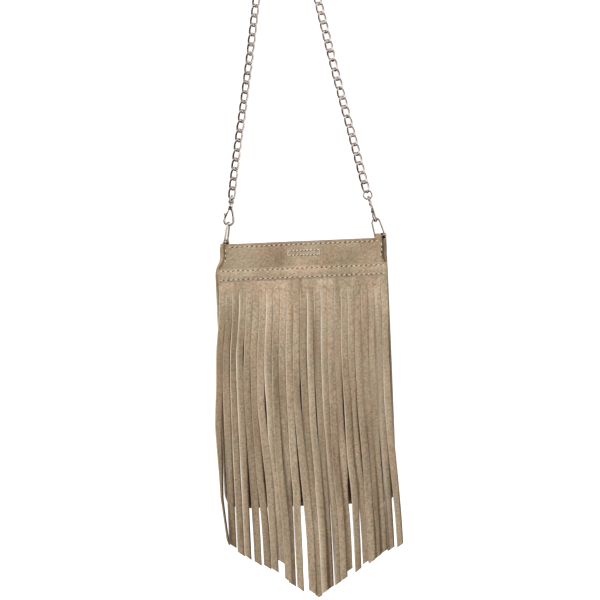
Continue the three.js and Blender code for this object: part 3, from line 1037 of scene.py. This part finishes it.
def sew(start, end, surface, facing, pitch=stitch_pitch):
    """A row of stitches between two points in X and Z, on a surface given as y(x, z)."""
    start, end = Vector(start), Vector(end)
    run = (end - start).length
    count = max(1, round(run / pitch))
    along = (end - start).normalized()
    for i in range(count):
        middle = start + along * (i + 0.5) * run / count
        y = surface(middle.x, middle.y)
        stitch = copy_of(stitch_model, "stitch_copy")
        tilt = Matrix.Rotation(math.radians(16 + rng.uniform(-6, 6)), 3, "Z") @ Vector((along.x, along.y, 0))
        lay_along(
            stitch, Vector(bag_point(middle.x, y + facing * 0.12, middle.y)) * MM,
            Vector((tilt.x, 0, tilt.y)), Vector((0, facing, 0)),
        )
        stitches.append(stitch)
        gap = start + along * (i + 1) * run / count
        if i < count - 1:
            hole = copy_of(hole_model, "hole_copy")
            lay_along(
                hole, Vector(bag_point(gap.x, surface(gap.x, gap.y), gap.y)) * MM,
                Vector((tilt.x, 0, tilt.y)), Vector((0, facing, 0)),
            )
            holes.append(hole)


def front_face(x, z):
    return -wall_depth(x, z)


def back_face(x, z):
    return wall_depth(x, z)


def hem_face(x, z):
    return front_face(x, z) + 0.35


def cover_face(x, z):
    return fringe_rest(x, cover_level) - suede_thick / 2 - cover_gap - cover_puff + 0.3


side_x = top_half - 0.7
sew((-side_x + 2, -3.0), (side_x - 2, -3.0), hem_face, -1)
for level in rows_z:
    row_shift = fringe_shift(-level)
    sew((row_shift - cover_half + 1, -level), (row_shift + cover_half - 1, -level), cover_face, -1)
faces = ((front_face, -1), (back_face, 1))
for end in (-1, 1):
    for surface, facing in faces:
        sew((end * side_x, -4.0), (end * side_x, -20.0), surface, facing)
    sew((end * (wall_half - 1.3), -27.0), (end * (wall_half - 1.3), -258.0), back_face, 1)
sew((-side_x + 2, -3.0), (side_x - 2, -3.0), lambda x, z: -hem_face(x, z), 1)
sew((-side_x + 14, -273.0), (side_x - 14, -273.0), back_face, 1)
patch_half, patch_high, patch_z = 16.5, 2.35, -12.0
for z in (patch_z - patch_high, patch_z + patch_high):
    for surface, facing in faces:
        sew((-patch_half, z), (patch_half, z), surface, facing, 3.7)
for x in (-patch_half, patch_half):
    for surface, facing in faces:
        sew((x, patch_z - patch_high), (x, patch_z + patch_high), surface, facing, 3.0)
for name, items, material in (("thread_stitches", stitches, thread), ("needle_holes", holes, hole_painted_shade)):
    row = smooth(joined(items, name), 60)
    dress(row, material, "bag", "suede")
bpy.data.objects.remove(stitch_model)
bpy.data.objects.remove(hole_model)

# ---- Lining ----
# A loose pouch of dark taupe cotton hangs inside, its mouth sewn under the hems and its
# bottom closed by a flat seam.
lining_cloth, shader = new_material("lining_cotton", Roughness=0.85, Sheen_Weight=0.15)
place = add_node(lining_cloth, "ShaderNodeTexCoord")
warp = add_node(lining_cloth, "ShaderNodeTexWave", Scale=520.0, Distortion=1.2, bands_direction="X")
weft = add_node(lining_cloth, "ShaderNodeTexWave", Scale=520.0, Distortion=1.2, bands_direction="Z")
weave = add_node(lining_cloth, "ShaderNodeMath", operation="MULTIPLY")
cloth = color_ramp(lining_cloth, (0.1, (0.055, 0.042, 0.03)), (0.8, (0.13, 0.10, 0.075)))
bump = add_node(lining_cloth, "ShaderNodeBump", Strength=0.4, Distance=0.0002)
wire_up(
    lining_cloth,
    (place.outputs["Object"], warp.inputs["Vector"]),
    (place.outputs["Object"], weft.inputs["Vector"]),
    (warp.outputs["Fac"], weave.inputs[0]),
    (weft.outputs["Fac"], weave.inputs[1]),
    (weave.outputs["Value"], cloth.inputs["Fac"]),
    (cloth.outputs["Color"], shader.inputs["Base Color"]),
    (weave.outputs["Value"], bump.inputs["Height"]),
    (bump.outputs["Normal"], shader.inputs["Normal"]),
)
lining_inset, under_hem = 5.0, 1.43


def lining_point(u, v):
    z = -lining_inset - v * (pouch_height - lining_inset - lining_inset)
    half = wall_width(z) - 3.2
    depth = (wall_depth(0, z) - 3.4) * (1 - ease((v - 0.93) / 0.07)) + 0.45
    depth += under_hem * (1 - ease((-z - hem_depth - 1) / 3))
    turn = 2 * math.pi * u
    x = half * math.copysign(abs(math.cos(turn)) ** 0.25, math.cos(turn))
    y = depth * math.copysign(abs(math.sin(turn)) ** 0.35, math.sin(turn))
    return bag_point(x, y, z)


inner = outward(sheet_grid("lining_pouch", 96, 60, lining_point))
give_thickness(inner, 0.5, lining_cloth, lining_cloth, bevel=0)
belong(inner, "bag", "lining", "lining")

# ---- Magnetic snap ----
# Two plated steel discs sit on the lining at the middle of the mouth, a socket with a
# recess and a stud, each clenched to a thin washer behind the lining.
plain_steel("snap_socket", "snap_stud", "socket_washer", "stud_washer")

# ---- Tabs ----
# Each shackle hangs in a suede tab, folded over its pin. The left tab straddles the
# pouch's side, and the right one is turned to the front and tucked into the mouth.
tab_thick, tab_loop = 1.2, 2.0


def hairpin(pin_x, pin_z, outer, inner_leg):
    bend = tab_loop + tab_thick / 2
    points = [(outer, -18), (outer, -9), (outer, -1.5), (pin_x + bend, pin_z)]
    points += [
        (pin_x + bend * math.cos(math.radians(a)), pin_z + bend * math.sin(math.radians(a)))
        for a in (45, 90, 135)
    ]
    points += [(pin_x - bend, pin_z), (inner_leg, -1.5), (inner_leg, -9), (inner_leg, -18)]
    return curve_points([(x, 0, z) for x, z in points], 0.8)


def tab(side, line, width, to_bag):
    def place(u, v):
        where = v * (len(line) - 1)
        i = min(int(where), len(line) - 2)
        here = line[i].lerp(line[i + 1], where - i)
        across = (2 * u - 1) * width / 2
        return to_bag(here.x, across, here.z)

    item = sheet_grid(f"{side}_loop", 6, 70, place)
    give_thickness(item, 1.6, suede, suede)
    belong(item, "bag", "suede", f"{side}_tab")


left_line, _ = hairpin(82.3, left_pin.z - bag_top - pin_drop["left"], 87.2, 79.6)


def tab_point(x, y, z):
    """A tab stands plumb at its pin and drifts with the pouch below."""
    return (bag_x + x + drift(z) * ease((2 - z) / 8), y, bag_top + z)


tab("left", left_line, 5.2, lambda x, across, z: tab_point(-x, across, z))
right_line, _ = hairpin(0, right_pin.z - bag_top - pin_drop["right"], 4.8, -4.8)
tab("right", right_line, 6.2, lambda x, across, z: tab_point(77.6 + across, x, z))

# ---- Studio ----
# A wide pale floor that curves up all round the hanging bag, with soft lights in front,
# above and behind it, and dark cards that only glossy surfaces reflect.
floor_white, _ = new_material(
    "pale_floor", Base_Color=(0.94, 0.94, 0.94, 1), Roughness=1.0, Specular_IOR_Level=0.0,
    Emission_Color=(1, 1, 1, 1), Emission_Strength=0.95,
)
floor_level, floor_reach, floor_curve, wall_height = -0.95, 8.0, 2.5, 5.0
bpy.ops.mesh.primitive_grid_add(x_subdivisions=96, y_subdivisions=48, size=2)
floor = named("floor")
for vertex in floor.data.vertices:
    turn = vertex.co.x * math.pi
    run = (vertex.co.y + 1) / 2 * (floor_reach + math.pi / 2 * floor_curve + wall_height)
    bend = run - floor_reach
    if bend < 0:
        radius, height = run, 0
    elif bend < math.pi / 2 * floor_curve:
        radius = floor_reach + floor_curve * math.sin(bend / floor_curve)
        height = floor_curve * (1 - math.cos(bend / floor_curve))
    else:
        radius = floor_reach + floor_curve
        height = floor_curve + bend - math.pi / 2 * floor_curve
    vertex.co = (radius * math.cos(turn), radius * math.sin(turn), floor_level + height)
outward(floor, 0.001)
bpy.ops.object.mode_set(mode="EDIT")
bpy.ops.mesh.select_all(action="SELECT")
bpy.ops.mesh.flip_normals()
bpy.ops.object.mode_set(mode="OBJECT")
smooth(floor, 60)
floor.data.materials.append(floor_white)
floor.visible_diffuse = False


def soft_light(name, location, aim, size, power, color=(1, 1, 1)):
    data = bpy.data.lights.new(name, "AREA")
    data.shape = "RECTANGLE"
    data.size, data.size_y = size
    data.energy = power
    data.color = color
    light = bpy.data.objects.new(name, data)
    bpy.context.scene.collection.objects.link(light)
    light.location = location
    light.rotation_euler = (Vector(aim) - Vector(location)).to_track_quat("-Z", "Y").to_euler()
    light.visible_camera = False
    light.visible_glossy = False


soft_light("key", (-1.8, -1.75, 0.9), (0, 0, -0.45), (1.0, 1.4), 53)
soft_light("fill", (1.9, -1.8, 0.0), (0, 0, -0.45), (0.8, 1.5), 9)
soft_light("top", (0.3, -1.1, 1.2), (0, 0, -0.4), (1.4, 0.8), 18)
soft_light("back_key", (1.3, 2.2, 0.9), (0, 0, -0.45), (1.0, 1.4), 34)
soft_light("back_fill", (-1.8, 1.9, 0.1), (0, 0, -0.45), (0.8, 1.5), 12)
card_black, _ = new_material("black_card", Base_Color=(0.03, 0.026, 0.023, 1), Roughness=0.9)
card_reach, low_card_start, floor_card = 1.4, 0.12, -0.94
# Each card: the turns from straight ahead at which it starts and ends, and its lower and
# upper edge. The low card lies near the floor, from close under the bag outwards.
cards = {
    "left_card": (-16, 84, -0.66, -0.04), "right_card": (-165, -118, -0.62, 0.45),
    "low_card": (-110, 110, 0, 0),
}
for name, (first, last, low, high) in cards.items():
    bpy.ops.mesh.primitive_grid_add(x_subdivisions=12, y_subdivisions=8, size=2)
    card = named(name)
    for vertex in card.data.vertices:
        turn = math.radians(first + (last - first) * (vertex.co.x + 1) / 2)
        up = (vertex.co.y + 1) / 2
        reach = card_reach
        level = low + (high - low) * up
        if name == "low_card":
            reach = low_card_start + (card_reach - low_card_start) * up
            level = floor_card + 0.32 * up ** 4
        vertex.co = (-reach * math.sin(turn), -reach * math.cos(turn), level)
    card.data.materials.append(card_black)
    card.visible_camera = False
    card.visible_diffuse = False
    card.visible_shadow = False
world = bpy.data.worlds.new("studio_air")
bpy.context.scene.world = world
world.use_nodes = True
world.node_tree.nodes["Background"].inputs["Color"].default_value = (1, 1, 1, 1)
world.node_tree.nodes["Background"].inputs["Strength"].default_value = 0.26
bpy.context.scene.view_settings.view_transform = "Standard"
